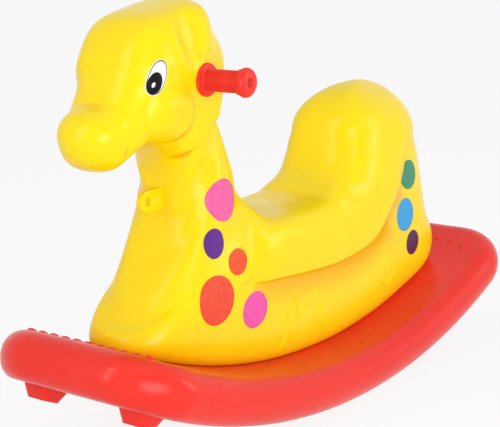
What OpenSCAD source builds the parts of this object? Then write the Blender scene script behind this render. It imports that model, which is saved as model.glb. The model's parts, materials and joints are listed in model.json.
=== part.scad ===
// Ride-on rocking horse for a small child: a blow-moulded body with saddle and
// backrest, screwed to a curved rocker board, with a cross handle through the head.
// +Z is up, the horse looks along -X, and the board touches the floor at the origin.

/* [Rocker board] */
// Length from end to end
rocker_length = 888; // [840:5:960]
// Width of the board
rocker_width = 284; // [270:2:340]
// Radius of the running surface
rocker_radius = 968; // [900:2:1200]
// Thickness of the board
rocker_thickness = 61; // [52:1:72]
// Radius of the board's corners, seen from above
corner_radius = 81; // [60:1:110]
// Radius of the rounded upper edge
edge_radius = 28; // [20:1:34]
// How far the lower edge draws in, below the widest line
edge_draw_in = 24; // [16:1:30]
// Diameter of a stud
stud_d = 12; // [8:0.5:15]
// Height of a stud above the board
stud_h = 3; // [2:0.5:5]
// Distance between the studs at the toe end
toe_stud_pitch = 18.5; // [17:0.5:20]
// Distance of the toe studs from the front end of the board
toe_stud_inset = 52; // [44:1:60]
// Distance between the studs behind the rump
rump_stud_pitch = 25; // [20:0.5:28]
// Distance of the middle rump stud from the rear end of the board
rump_stud_inset = 60; // [52:1:68]
// Depth of a stop lug below the board
lug_depth = 16; // [10:1:22]
// Width of a stop lug
lug_width = 44; // [36:1:60]
// Distance between the two stop lugs at one end
lug_spacing = 152; // [130:2:170]
// Distance of the stop lugs from the middle
lug_reach = 388; // [370:1:400]

/* [Body] */
// Height of the seat above the board
seat_height = 210; // [196:2:226]
// Height of the backrest above the board
back_height = 351; // [336:1:372]
// Height of the handle above the board
handle_height = 388; // [370:2:410]
// Distance of the handle in front of the middle
handle_forward = 248; // [240:1:256]
// Width across the head
head_width = 114; // [108:1:124]
// Width across the neck at the throat
neck_width = 106; // [98:1:116]
// Width across the saddle
saddle_width = 160; // [150:1:172]
// How far the skirt is set in below the saddle
skirt_step = 8; // [4:0.5:12]
// How far the neck is set in below the jaw
jaw_step = 7; // [3:0.5:9]
// Depth of the dish in each ear
ear_dish = 6; // [3:0.5:9]
// How far the cheek stands out
cheek_swell = 7; // [3:0.5:9]

/* [Handle] */
// Outer diameter of the cross tube
tube_d = 20; // [16:0.5:22]
// Wall of the cross tube
tube_wall = 1.5; // [1:0.1:2.5]
// Length of a grip, from its flange to its end cap
grip_length = 46; // [40:1:60]
// Diameter over the grip's rings
grip_d = 26; // [25:0.5:30]
// Number of rings on a grip
grip_rings = 15; // [8:1:18]
// Depth of the grooves between the rings
ring_depth = 0.8; // [0.4:0.1:1]
// Diameter of the grip's flange
flange_d = 40; // [34:0.5:42]
// Thickness of the grip's flange
flange_t = 4; // [3:0.5:6]
// Diameter of the end cap
cap_d = 35; // [32:0.5:40]
// Length of the end cap
cap_length = 15; // [13:0.5:20]
// Height of the raised collar round the handle hole
collar_h = 2; // [1:0.5:4]

/* [Fixings] */
// Diameter of the screws that hold the body down
screw_d = 6; // [5:0.5:8]
// Length of those screws under the head
screw_length = 38; // [30:1:48]
// Thickness of their washers
washer_t = 1.6; // [1:0.2:3]
// Distance of those screws in front of and behind the middle
screw_reach = 190; // [160:5:220]
// Distance between the two screws of a pair
screw_spacing = 68; // [56:2:76]
// Board left above a screw's well
well_floor = 14; // [10:1:20]
// Diameter of the end cap screws
cap_screw_d = 4; // [3:0.5:5]

/* [Tow eye] */
// Diameter of the hole in the chest's tow eye
eye_hole_d = 9; // [6:0.5:10]
// Radius of the tow eye
eye_radius = 14; // [11:0.5:16]
// Thickness of the tow eye
eye_t = 9; // [6:0.5:12]

/* [Stickers] */
// Thickness of a sticker
sticker_t = 0.4; // [0.2:0.1:1]
// Height of the eye stickers
eye_height = 42; // [34:1:50]
// Width of the eye stickers
eye_width = 26; // [20:1:34]

/* [Hidden] */
SPOTS = ["rose", "violet", "orange", "red", "magenta", "green", "blue", "plum"];
SIDES = ["left", "right"];
NODES = concat(
    ["body_shell", "rocker_board", "handle_tube", "grip_left", "grip_right", "cap_left",
     "cap_right", "cap_screw_left", "cap_screw_right", "body_screws", "body_washers",
     "eye_left", "eye_right"],
    [for (side = SIDES) for (spot = SPOTS) str("spot_", spot, "_", side)]);
node = "all";
function draws(name) = node == "all" || node == name;
// the left side of the horse is its -Y side
function sign_of(side) = side == "left" ? -1 : 1;

$fn = 64;
seat_gap = 0.3;
slip = 0.15;

// ---- the rocker board ----

// height of an arc about the rocking axis, at a distance from the middle
function arc_z(radius, x) = rocker_radius - sqrt(radius * radius - x * x);
deck_radius = rocker_radius - rocker_thickness;
foot_radius = deck_radius - seat_gap;
function on_deck(x) = arc_z(deck_radius, x);
function on_foot(x) = arc_z(foot_radius, x);
module at_angle(a) {
    translate([0, 0, rocker_radius]) rotate([0, a, 0]) translate([0, 0, -rocker_radius]) children();
}

// The board is a stack of outlines, bent round the rocking axis. Each outline is half
// of a rounded rectangle, in millimetres along the widest line and across. The widest
// line lies where the round upper edge meets the lower edge, a quarter of an ellipse.
widest = rocker_thickness - edge_radius;
bend = PI / 180 * (rocker_radius - widest);
function end_reach(a) = norm([edge_draw_in * cos(a), widest * sin(a)]);
function edge_angle(a) = asin((rocker_length / 2 - end_reach(a)) / (rocker_radius - widest));
end_angle = edge_angle(edge_angle(25)) + edge_draw_in / bend;
function board_side(inset) =
    let (r = corner_radius - inset,
         along = end_angle * bend - corner_radius,
         across = rocker_width / 2 - corner_radius)
    concat([for (a = [0 : 10 : 90]) [-along - r * cos(a), across + r * sin(a)]],
           [for (i = [-8.5 : 8.5]) [along * i / 9, across + r]],
           [for (a = [90 : -10 : 0]) [along + r * cos(a), across + r * sin(a)]]);
function bent(p, side, height) =
    let (a = p[0] / bend, r = rocker_radius - height)
    [r * sin(a), side * p[1], rocker_radius - r * cos(a)];
board_layers = concat(
    [for (a = [90 : -18 : 0]) [edge_draw_in * (1 - cos(a)), widest * (1 - sin(a))]],
    [for (a = [18 : 18 : 90]) [edge_radius * (1 - cos(a)), rocker_thickness - edge_radius * (1 - sin(a))]]);

module board_slab() {
    half = len(board_side(0));
    n = 2 * half;
    loops = [for (layer = board_layers) let (side = board_side(layer[0])) concat(
        [for (p = side) bent(p, 1, layer[1])],
        [for (i = [half - 1 : -1 : 0]) bent(side[i], -1, layer[1])])];
    last = (len(loops) - 1) * n;
    strips = [for (j = [0 : half - 2]) let (i = n - 1 - j) each [[i, i - 1, j + 1], [i, j + 1, j]]];
    walls = [for (k = [0 : len(loops) - 2]) for (j = [0 : n - 1]) let (a = k * n, i = (j + 1) % n)
        each [[a + j, a + i, a + n + i], [a + j, a + n + i, a + n + j]]];
    lids = [for (s = strips) [last + s[2], last + s[1], last + s[0]]];
    polyhedron([for (loop = loops) each loop], concat(walls, strips, lids), convexity = 4);
}

// a dome on the deck, sunk to its widest circle
module stud(x, y) {
    ball = (stud_d * stud_d / 4 + stud_h * stud_h) / (2 * stud_h);
    a = -asin(x / deck_radius);
    translate([0, y, 0]) at_angle(a) translate([0, 0, rocker_thickness + stud_h - ball])
        intersection() {
            sphere(ball, $fn = 40);
            translate([0, 0, ball - stud_h - 1]) cylinder(d = stud_d + 2, h = ball, $fn = 40);
        }
}
toe_stud_x = toe_stud_inset - rocker_length / 2;
rump_stud_x = rocker_length / 2 - rump_stud_inset;
rump_stud_arc = 237;
module studs() {
    for (i = [-5 : 5]) stud(toe_stud_x, i * toe_stud_pitch);
    for (i = [-3.5 : 3.5]) let (y = i * rump_stud_pitch)
        stud(rump_stud_x - y * y / (2 * rump_stud_arc), y);
}

// a stop lug stands radially under one end, so the board can't rock too far
module lug_corners(length, width, r, z, h) {
    for (x = [-1, 1]) for (y = [-1, 1])
        translate([x * (length / 2 - r), y * (width / 2 - r), z]) cylinder(r = r, h = h, $fn = 24);
}
module lug(end, side) {
    translate([0, side * lug_spacing / 2, 0]) at_angle(-end * asin(lug_reach / rocker_radius)) hull() {
        lug_corners(46, lug_width, 10, 4, 6);
        lug_corners(28, lug_width - 12, 8, -lug_depth, 4);
    }
}

screw_places = [for (x = [-screw_reach, screw_reach]) for (y = [-1, 1]) [x, y * screw_spacing / 2]];
head_d = 2 * screw_d;
washer_d = 3 * screw_d;
well_d = washer_d + 6;
// the well's roof, where a washer seats, level under a place on the deck
function well_roof(x) = on_deck(abs(x) - well_d / 2) - well_floor;

module rocker_board() {
    color("crimson") difference() {
        union() {
            board_slab();
            studs();
            for (end = [-1, 1]) for (side = [-1, 1]) lug(end, side);
        }
        for (p = screw_places) translate([p[0], p[1], 0]) {
            translate([0, 0, -1]) cylinder(d = well_d, h = well_roof(p[0]) + 1);
            cylinder(d = screw_d + 1, h = on_deck(p[0]) + 20);
        }
    }
}

// ---- the body ----

// anchors of the body's profile
seat_z = rocker_thickness + seat_height;
back_z = rocker_thickness + back_height;
handle_z = rocker_thickness + handle_height;
handle_x = -handle_forward;
head_half = head_width / 2;
neck_half = neck_width / 2;
saddle_half = saddle_width / 2;
skirt_half = saddle_half - skirt_step;

// A rib crosses the body from its outer edge (chin, chest, foot, rump) to its inner
// edge (brow, nape, seat, backrest). It holds [outer x, outer z, inner x, inner z, half
// width, outer squareness, inner squareness, seam, step]. The side stands out by the
// step on the inner side of the seam, a share of the rib from -1 at its outer edge to 1.
function head_rib(xo, zo, xi, zi, w, po, pi, seam, step) =
    [handle_x + xo, handle_z + zo, handle_x + xi, handle_z + zi, head_half + w, po, pi, seam, step];
function foot_rib(x, xi, zi, w, po, pi, seam, step) =
    [x, on_foot(x), xi, seat_z + zi, skirt_half + w, po, pi, seam, step];
// The neck stretches with the handle's height: heights up the chest from its foot to
// the throat, and up the nape from the seat to the handle.
chest_rise = 130;
nape_rise = 179;
function on_chest(h) = rocker_thickness + 87 + h / chest_rise * (handle_height - 258);
function on_nape(h) = seat_z - 19 + h / nape_rise * (handle_height - seat_height + 1);
ribs = [
    head_rib(-116, -96, -141, -27, -13, 2.6, 2.4, -1, 0),
    head_rib(-100, -85, -125, -19, -8, 2.7, 2.7, -1, 0),
    head_rib(-71, -75, -110, 10, -4, 2.6, 2.9, -1, 0),
    head_rib(-52, -77, -105, 37, -2, 2.5, 3.1, -1, jaw_step / 2),
    head_rib(-39, -84, -80, 71, -5, 2.5, 3.2, -0.95, jaw_step),
    head_rib(-25, -98, -37, 85, -4, 2.4, 3.3, -0.78, jaw_step),
    head_rib(-17, -116, 16, 93, -4, 2.4, 3.3, -0.58, jaw_step),
    head_rib(-16, -135, 34, 72, -5, 2.4, 3, -0.33, jaw_step),
    head_rib(-14, -153, 60, 45, -6, 2.4, 2.6, 0.05, jaw_step),
    head_rib(-13, -171, 50, 14, -7, 2.3, 2.4, 0.35, jaw_step),
    [handle_x - 17, on_chest(111), handle_x + 51, handle_z - 18, neck_half - 3, 2.2, 2.4, 0.76, jaw_step],
    [handle_x - 28, on_chest(86), handle_x + 69, on_nape(135), neck_half + 4, 2.1, 2.4, 1, 0],
    [-304, on_chest(50), -158, on_nape(92), neck_half + 8, 2.1, 2.4, 0.7, 0],
    [-332, on_chest(17), -135, on_nape(45), skirt_half - 5, 2.3, 2.5, 0.4, 0],
    [-355, on_chest(0), -100, on_nape(0), skirt_half + 2, 2.6, 2.6, -0.22, 0],
    foot_rib(-342, -78, -17, 3, 3.4, 2.8, -0.07, skirt_step * 0.2),
    foot_rib(-240, -54, -13, 1, 4, 3, 0.1, skirt_step * 0.8),
    foot_rib(-110, -18, -11, 0, 4, 3, 0.16, skirt_step),
    foot_rib(30, 6, -7, 0, 4, 3, 0.15, skirt_step),
    foot_rib(150, 22, -4, 0, 4, 3.1, 0.14, skirt_step),
    foot_rib(240, 35, 4, 0, 4, 3.2, 0.13, skirt_step),
    foot_rib(322, 48, 12, 0, 4, 3.2, 0.22, skirt_step),
    [344, 150, 60, seat_z + 21, skirt_half, 3.8, 3.2, 0.23, skirt_step],
    [325, 193, 69, seat_z + 32, skirt_half, 3.4, 3.2, 0.11, skirt_step],
    [314, 246, 76, seat_z + 45, skirt_half - 2, 3, 3.1, -0.04, skirt_step],
    [308, back_z - 120, 81, back_z - 82, skirt_half - 5, 2.6, 3, -0.14, skirt_step],
    [302, back_z - 88, 85, back_z - 65, skirt_half - 9, 2.4, 2.7, -0.25, skirt_step]
];
muzzle_reach = 36;
back_dome = 75;
back_taper = 1.7;
step_width = 7;
last_rib = len(ribs) - 1;

function ramp(t) = let (c = min(max(t, 0), 1)) c * c * (3 - 2 * c);
function spline(a, b, c, d, t) =
    b + (c - a) * t / 2 + (2 * a - 5 * b + 4 * c - d) * t * t / 2
    + (3 * b - 3 * c + d - a) * t * t * t / 2;

// square to a rib, in the side view
function square_to(r) = let (d = [r[2] - r[0], r[3] - r[1]]) [-d[1], d[0]] / norm(d);

// a guide beyond an end rib, so that the skin leaves the end squarely
end_pace = 20;
function guide(end, next, away) =
    let (out = 2 * end_pace * away * square_to(end))
    concat([next[0] + out[0], next[1] + out[1], next[2] + out[0], next[3] + out[1]],
           [for (i = [4 : 8]) next[i]]);
function rib_near(i) =
    i < 0 ? guide(ribs[0], ribs[1], 1)
    : i > last_rib ? guide(ribs[last_rib], ribs[last_rib - 1], -1)
    : ribs[i];

// a rounded end: the end rib shrinks as it moves out along the reach
function end_rib(r, reach, taper, angle) =
    let (middle = [r[0] + r[2], r[1] + r[3]] / 2,
         half = [r[2] - r[0], r[3] - r[1]] / 2 * cos(angle),
         out = reach * sin(angle) * square_to(r),
         foot = middle - half + out,
         top = middle + half + out)
    [foot[0], foot[1], top[0], top[1], r[4] * pow(cos(angle), taper), r[5], r[6], r[7], r[8] * cos(angle)];

// the rib at any place along the body, from -1 at the muzzle's tip to last_rib + 1
function rib_at(u) =
    u < 0 ? end_rib(ribs[0], muzzle_reach, 1, -90 * u)
    : u > last_rib ? end_rib(ribs[last_rib], -back_dome, back_taper, 90 * (u - last_rib))
    : let (i = min(floor(u), last_rib - 1))
      spline(rib_near(i - 1), ribs[i], ribs[i + 1], rib_near(i + 2), u - i);

// what the sculpted forms add to the plain side, at a place [x, z] of the side view
cheek = [handle_x - 62, handle_z - 38];
cheek_long = 36;
cheek_tall = 33;
ear = [handle_x - 23, handle_z + 50];
ear_tall = 34;
ear_wide = 26;
ear_rim = 3;
function swell(p, r, share) =
    let (c = norm([(p[0] - cheek[0]) / cheek_long, (p[1] - cheek[1]) / cheek_tall]),
         up = (p[1] - ear[1]) / ear_tall,
         rim = norm([up, (p[0] - ear[0]) / (ear_wide * (1 + 0.2 * min(max(up, -1), 1)))]),
         below = (r[7] - share) * norm([r[2] - r[0], r[3] - r[1]]) / 2)
    cheek_swell * ramp((1.06 - c) / 0.16) * (1 - 0.4 * min(c * c, 1))
    + ear_rim * ramp((1.6 - rim) / 0.5) - (ear_dish + ear_rim) * ramp((1.1 - rim) / 0.5)
    + r[8] * (1 - ramp(below / step_width));

// the skin at a rib and a share of it
function skin(r, share, side) =
    let (power = share < 0 ? r[5] : r[6],
         lift = pow(max(1 - pow(abs(share), power), 0), 1 / power),
         p = [r[0] + r[2], r[1] + r[3]] / 2 + share * [r[2] - r[0], r[3] - r[1]] / 2,
         y = r[4] * lift + swell(p, r, share) * ramp((lift - 0.2) / 0.5),
         d = [p[0], p[1] - rocker_radius],
         over = norm(d) > foot_radius ? foot_radius / norm(d) : 1)
    [d[0] * over, side * y, rocker_radius + d[1] * over];

// the place along the body whose rib runs through [x, z], and the share there
function rib_through(p, low, high, steps = 16) =
    let (u = (low + high) / 2, r = rib_at(u),
         past = (r[2] - r[0]) * (p[1] - r[1]) - (r[3] - r[1]) * (p[0] - r[0]) < 0)
    steps == 0 ? [u, 2 * ([p[0] - r[0], p[1] - r[1]] * [r[2] - r[0], r[3] - r[1]])
                     / pow(norm([r[2] - r[0], r[3] - r[1]]), 2) - 1]
    : rib_through(p, past ? u : low, past ? high : u, steps - 1);
face_span = [1, 8];
neck_span = [9, 18];
rump_span = [19, 25];
function side_skin(p, side, span) = let (h = rib_through(p, span[0], span[1])) skin(rib_at(h[0]), h[1], side);

// The shares round one side of a ring, evenly turned, with one on each edge of the step
below_steps = 8;
above_steps = 9;
ring_steps = below_steps + 1 + above_steps;
function share_at(angle, r) = let (c = cos(angle)) -sign(c) * pow(abs(c), 2 / (c > 0 ? r[5] : r[6]));
function turn_of(share, r) = acos(-sign(share) * pow(abs(share), (share > 0 ? r[6] : r[5]) / 2));
function ring_shares(r) =
    let (half = norm([r[2] - r[0], r[3] - r[1]]) / 2,
         seam = min(max(r[7], -0.55), 0.62),
         low = turn_of(seam - min(step_width / half, 0.3), r),
         high = turn_of(seam, r))
    concat([for (j = [0 : below_steps]) share_at(low * j / below_steps, r)],
           [for (j = [0 : above_steps]) share_at(high + (180 - high) * j / above_steps, r)]);
function ring(r) = let (shares = ring_shares(r)) concat(
    [for (share = shares) skin(r, share, 1)],
    [for (j = [ring_steps - 1 : -1 : 1]) skin(r, shares[j], -1)]);

module body_skin() {
    per_rib = 4;
    end_steps = 6;
    places = concat([for (i = [end_steps - 1 : -1 : 1]) -i / end_steps],
                    [for (i = [0 : last_rib * per_rib]) i / per_rib],
                    [for (i = [1 : end_steps - 1]) last_rib + i / end_steps]);
    n = 2 * ring_steps;
    rings = len(places);
    tip = rib_at(-1);
    crown = rib_at(last_rib + 1);
    points = concat([for (u = places) each ring(rib_at(u))],
                    [[tip[0], 0, tip[1]], [crown[0], 0, crown[1]]]);
    faces = concat(
        [for (i = [0 : rings - 2]) for (j = [0 : n - 1]) let (k = (j + 1) % n, a = i * n)
            each [[a + j, a + n + j, a + n + k], [a + j, a + n + k, a + k]]],
        [for (j = [0 : n - 1]) [rings * n, j, (j + 1) % n]],
        [for (j = [0 : n - 1]) [rings * n + 1, (rings - 1) * n + (j + 1) % n, (rings - 1) * n + j]]);
    polyhedron(points, faces, convexity = 6);
}

// the handle's parts seat on flat collars that stand out of the skin round the handle
collar_d = flange_d + 6;
collar_face = side_skin([handle_x, handle_z], 1, face_span)[1] + collar_h;
module across(r1, r2, y0, y1) {
    translate([handle_x, y0, handle_z]) rotate([-90, 0, 0]) cylinder(r1 = r1, r2 = r2, h = y1 - y0);
}

// the tow eye's web runs back into the chest
eye_x = handle_x - 39;
eye_z = handle_z - 147;
web = 1.5 * eye_radius;
module tow_eye() {
    translate([eye_x, -eye_t / 2, eye_z]) rotate([-90, 0, 0]) cylinder(r = eye_radius, h = eye_t);
    translate([eye_x, -eye_t / 2, eye_z - web / 2]) cube([web + 20, eye_t, web]);
}
module body_shell() {
    pilot = screw_length - washer_t - well_floor + 8;
    color("gold") difference() {
        union() {
            body_skin();
            across(collar_d / 2, collar_d / 2, -collar_face, collar_face);
            tow_eye();
        }
        across(tube_d / 2 + slip, tube_d / 2 + slip, -collar_face - 1, collar_face + 1);
        translate([eye_x, -eye_t, eye_z]) rotate([-90, 0, 0]) cylinder(d = eye_hole_d, h = 2 * eye_t);
        for (p = screw_places)
            translate([p[0], p[1], 0]) cylinder(d = screw_d + 0.1, h = on_deck(p[0]) + pilot);
    }
}

// ---- the handle ----

tube_half = collar_face + flange_t + grip_length;
module handle_tube() {
    color("silver") difference() {
        across(tube_d / 2, tube_d / 2, -tube_half, tube_half);
        across(tube_d / 2 - tube_wall, tube_d / 2 - tube_wall, -tube_half - 1, tube_half + 1);
    }
}
module on_side(side) {
    translate([handle_x, 0, handle_z]) rotate([90 * -sign_of(side), 0, 0]) children();
}
module grip(side) {
    bore = tube_d / 2 + slip;
    start = collar_face + seat_gap;
    pitch = (grip_length - 6) / grip_rings;
    neck = grip_d / 2 - ring_depth;
    sleeve = concat(
        [[bore, start], [flange_d / 2 - 1, start], [flange_d / 2, start + 1],
         [flange_d / 2, start + flange_t - 1.5], [flange_d / 2 - 1.5, start + flange_t],
         [neck + 2, start + flange_t], [neck, start + flange_t + 2]],
        [for (i = [0 : grip_rings - 1]) each let (y = start + flange_t + 3 + i * pitch)
            [[neck, y], [grip_d / 2, y + 0.25 * pitch],
             [grip_d / 2, y + 0.6 * pitch], [neck, y + 0.85 * pitch]]],
        [[neck, tube_half - seat_gap], [bore, tube_half - seat_gap]]);
    color("crimson") on_side(side) rotate_extrude() polygon(sleeve);
}
cap_screw_head = 2 * cap_screw_d;
module cap(side) {
    r = cap_d / 2;
    round = 4.5;
    plug = tube_d / 2 - tube_wall - slip;
    end = tube_half + cap_length;
    profile = concat(
        [[0.5 * cap_screw_d + 0.05, tube_half - 16], [plug, tube_half - 16], [plug, tube_half],
         [r - 3, tube_half], [r - 2, tube_half + 1], [r - 2, tube_half + 3], [r - 3, tube_half + 4],
         [r - 3, tube_half + 5], [r - 1, tube_half + 5]],
        [for (a = [0 : 15 : 90]) [r - round + round * cos(a), end - round + (round - 1) * sin(a)]],
        [[0.5 * cap_screw_head + 1.2, end], [0.5 * cap_screw_head + 0.5, end - 2.5],
         [0.5 * cap_screw_d + 0.05, end - 2.5]]);
    color("crimson") on_side(side) rotate_extrude() polygon(profile);
}
module cap_screw(side) {
    seat = tube_half + cap_length - 2.5;
    color("silver") on_side(side) difference() {
        union() {
            translate([0, 0, seat - cap_length - 12]) cylinder(d = cap_screw_d, h = cap_length + 13);
            translate([0, 0, seat]) cylinder(d1 = cap_screw_head, d2 = cap_screw_head - 1, h = 1.8);
        }
        for (a = [0, 90]) rotate(a) translate([-cap_screw_d * 0.6, -0.4, seat + 0.8])
            cube([cap_screw_d * 1.2, 0.8, 2]);
    }
}

// ---- the fixings under the board ----

module body_screws() {
    color("silver") for (p = screw_places) translate([p[0], p[1], well_roof(p[0]) - washer_t]) {
        difference() {
            union() {
                cylinder(d = screw_d, h = screw_length);
                translate([0, 0, -screw_d * 0.7]) cylinder(d1 = head_d - 1, d2 = head_d, h = screw_d * 0.7);
            }
            translate([0, 0, -screw_d]) cylinder(d = screw_d * 0.8, h = screw_d * 0.7, $fn = 6);
        }
    }
}
module body_washers() {
    color("silver") for (p = screw_places) translate([p[0], p[1], well_roof(p[0]) - washer_t]) difference() {
        cylinder(d = washer_d, h = washer_t);
        translate([0, 0, -1]) cylinder(d = screw_d + 0.4, h = washer_t + 2);
    }
}

// ---- the stickers ----

// a thin patch on the body's side, with the skin's own curve: an ellipse that leans back
sticker_gap = 0.25;
module sticker(x, z, width, height, lean, side, span) {
    n = 20;
    shares = [0.6, 1];
    function place(a, k) = let (p = [width / 2 * k * cos(a), height / 2 * k * sin(a)])
        [x + p[0] * cos(lean) + p[1] * sin(lean), z - p[0] * sin(lean) + p[1] * cos(lean)];
    places = concat([place(0, 0)], [for (k = shares) for (i = [0 : n - 1]) place(i * 360 / n, k)]);
    function layer(h) = [for (p = places) side_skin(p, side, span) + [0, side * h, 0]];
    count = 1 + len(shares) * n;
    outer = 1 + (len(shares) - 1) * n;
    disc = concat([for (i = [0 : n - 1]) [0, 1 + i, 1 + (i + 1) % n]],
        [for (k = [0 : len(shares) - 2]) for (i = [0 : n - 1]) let (a = 1 + k * n, j = (i + 1) % n)
            each [[a + i, a + n + i, a + n + j], [a + i, a + n + j, a + j]]]);
    faces = concat(
        disc,
        [for (f = disc) [f[2] + count, f[1] + count, f[0] + count]],
        [for (i = [0 : n - 1]) let (j = (i + 1) % n)
            each [[outer + j, outer + i, outer + i + count],
                  [outer + j, outer + i + count, outer + j + count]]]);
    polyhedron(concat(layer(sticker_gap), layer(sticker_gap + sticker_t)),
               side > 0 ? [for (f = faces) [f[2], f[1], f[0]]] : faces);
}

spot_list = [
    ["rose", "hotpink", -210, 299, 59, 52, neck_span],
    ["violet", "rebeccapurple", -234, 249, 35, 37, neck_span],
    ["orange", "coral", -195, 220, 36, 33, neck_span],
    ["red", "tomato", -239, 180, 64, 61, neck_span],
    ["magenta", "violet", -163, 152, 51, 47, neck_span],
    ["green", "seagreen", 228, 271, 49, 43, rump_span],
    ["blue", "deepskyblue", 215, 213, 49, 49, rump_span],
    ["plum", "purple", 238, 167, 37, 37, rump_span]];
module spot(name, side) {
    s = [for (s = spot_list) if (s[0] == name) s][0];
    color(s[1]) sticker(s[2], s[3], s[4], s[5], 0, sign_of(side), s[6]);
}
module eye(side) {
    color("white") sticker(handle_x - 84, handle_z + 9, eye_width, eye_height, 14, sign_of(side), face_span);
}

if (draws("body_shell")) body_shell();
if (draws("rocker_board")) rocker_board();
if (draws("handle_tube")) handle_tube();
if (draws("body_screws")) body_screws();
if (draws("body_washers")) body_washers();
for (side = SIDES) {
    if (draws(str("grip_", side))) grip(side);
    if (draws(str("cap_", side))) cap(side);
    if (draws(str("cap_screw_", side))) cap_screw(side);
    if (draws(str("eye_", side))) eye(side);
    for (spot = SPOTS) if (draws(str("spot_", spot, "_", side))) spot(spot, side);
}
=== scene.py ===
# %% [markdown]
# # A rocking horse for a small child
#
# The real toy is two big hollow mouldings in polyethylene: a yellow body with a
# saddle and a backrest, and a red board with a curved underside on which it rocks.
# A steel tube runs across the head, with a soft grip and an end cap on each side.
# Stickers give it its eyes and its coloured spots.
#
# The measured model comes in first, as a fixed frame. All lengths below are in
# millimetres, as on a drawing, and each mesh is turned into metres as it is made.

# %% Load the measured model
import json
import math
import bmesh
import bpy
import numpy as np
from mathutils import Matrix, Vector
from mathutils.bvhtree import BVHTree

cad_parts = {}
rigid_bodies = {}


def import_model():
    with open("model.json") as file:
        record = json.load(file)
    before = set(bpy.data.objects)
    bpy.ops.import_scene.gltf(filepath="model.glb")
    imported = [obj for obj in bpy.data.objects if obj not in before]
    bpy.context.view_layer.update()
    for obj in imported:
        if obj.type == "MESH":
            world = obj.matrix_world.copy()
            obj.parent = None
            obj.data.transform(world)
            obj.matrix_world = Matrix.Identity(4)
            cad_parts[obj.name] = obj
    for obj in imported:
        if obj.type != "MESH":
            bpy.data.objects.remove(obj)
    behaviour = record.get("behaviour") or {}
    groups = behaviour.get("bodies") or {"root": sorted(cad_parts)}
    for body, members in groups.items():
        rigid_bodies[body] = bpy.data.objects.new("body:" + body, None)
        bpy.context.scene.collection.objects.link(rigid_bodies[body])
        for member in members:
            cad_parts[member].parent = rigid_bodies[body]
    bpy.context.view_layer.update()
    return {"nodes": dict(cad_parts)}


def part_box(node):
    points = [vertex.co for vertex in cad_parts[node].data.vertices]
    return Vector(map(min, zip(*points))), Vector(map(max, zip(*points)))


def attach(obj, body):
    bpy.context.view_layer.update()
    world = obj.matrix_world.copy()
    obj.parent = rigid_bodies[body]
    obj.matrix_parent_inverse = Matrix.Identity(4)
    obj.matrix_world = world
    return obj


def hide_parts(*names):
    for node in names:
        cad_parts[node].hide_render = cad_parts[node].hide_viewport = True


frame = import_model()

MM = 0.001


def node_box(node):
    """The lowest and highest corners of a node of the measured model, in millimetres."""
    low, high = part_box(node)
    return np.array(low) / MM, np.array(high) / MM


# %% [markdown]
# ## From lists of points to a mesh
#
# Most of the toy is smooth skins, easiest to write as rows of points with faces
# between them. A helper turns such lists into a mesh object at the origin.

# %% Mesh helper
SIDES = ((-1, "left"), (1, "right"))


def show(name, data):
    """An object for a mesh, lamp or camera, linked to the scene."""
    thing = bpy.data.objects.new(name, data)
    bpy.context.collection.objects.link(thing)
    return thing


def make_piece(name, points, faces, finish, smooth_angle=None):
    """A mesh object from points in millimetres. smooth_angle leaves sharper edges crisp."""
    mesh = bpy.data.meshes.new(name)
    mesh.from_pydata(np.asarray(points, float) * MM, [], faces)
    mesh.validate()
    bm = bmesh.new()
    bm.from_mesh(mesh)
    bmesh.ops.remove_doubles(bm, verts=bm.verts, dist=1e-6)
    bmesh.ops.recalc_face_normals(bm, faces=bm.faces)
    bm.to_mesh(mesh)
    bm.free()
    piece = show(name, mesh)
    finish_piece(piece, finish, smooth_angle)
    return piece


def finish_piece(piece, finish, smooth_angle=None):
    """Smooth shading, one material, and a ride on the body."""
    mesh = piece.data
    mesh.polygons.foreach_set("use_smooth", [True] * len(mesh.polygons))
    if smooth_angle:
        mesh.set_sharp_from_angle(angle=math.radians(smooth_angle))
    mesh.materials.clear()
    mesh.materials.append(finish)
    mesh.polygons.foreach_set("material_index", [0] * len(mesh.polygons))
    mesh.update()
    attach(piece, "root")


def neighbours(count, first):
    """The numbers of each point of a ring and of the next one round it."""
    return [(first + j, first + (j + 1) % count) for j in range(count)]


def ring_faces(rows, count, loop=False):
    """Quads between rows of points, each row a ring. loop joins the last row to the first."""
    rings = [neighbours(count, r * count) for r in range(rows)]
    pairs = zip(rings, rings[1:] + rings[:1] if loop else rings[1:])
    return [(a, c, d, b) for here, there in pairs for (a, b), (c, d) in zip(here, there)]


def stack(rows, loop=False):
    """Points and faces of a stack of rings, joined end to end or closed by a face at each end."""
    size, count = len(rows), len(rows[0])
    ends = [] if loop else [tuple(range(count)), tuple(range((size - 1) * count, size * count))]
    return np.vstack(rows), ring_faces(size, count, loop) + ends


def turns(degrees):
    """The cosine and sine of each angle."""
    return [(math.cos(a), math.sin(a)) for a in np.radians(degrees)]


def circle(x, y, radius, step):
    """Places on a circle, this many degrees apart."""
    return [[x + radius * c, y + radius * s] for c, s in turns(range(0, 360, step))]


def ramp(t):
    """From 0 to 1 with no corner at either end."""
    t = np.clip(t, 0, 1)
    return t * t * (3 - 2 * t)


def catmull_rom(a, b, c, d, t):
    """The place at share t of the way from b to c, on a smooth curve that also heeds a and d."""
    return b + (c - a) * t / 2 + (2 * a - 5 * b + 4 * c - d) * t * t / 2 + (3 * b - 3 * c + d - a) * t ** 3 / 2


def smooth_path(points, per_span):
    """A smooth curve through the points, as many rows of coordinates."""
    p = np.asarray(points, float)
    p = np.vstack([2 * p[0] - p[1], p, 2 * p[-1] - p[-2]])
    rows = [catmull_rom(*p[i - 1:i + 3], t) for i in range(1, len(p) - 2)
            for t in np.linspace(0, 1, per_span, endpoint=False)]
    return np.array(rows + [p[-2]])


print("helpers ready")

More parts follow.
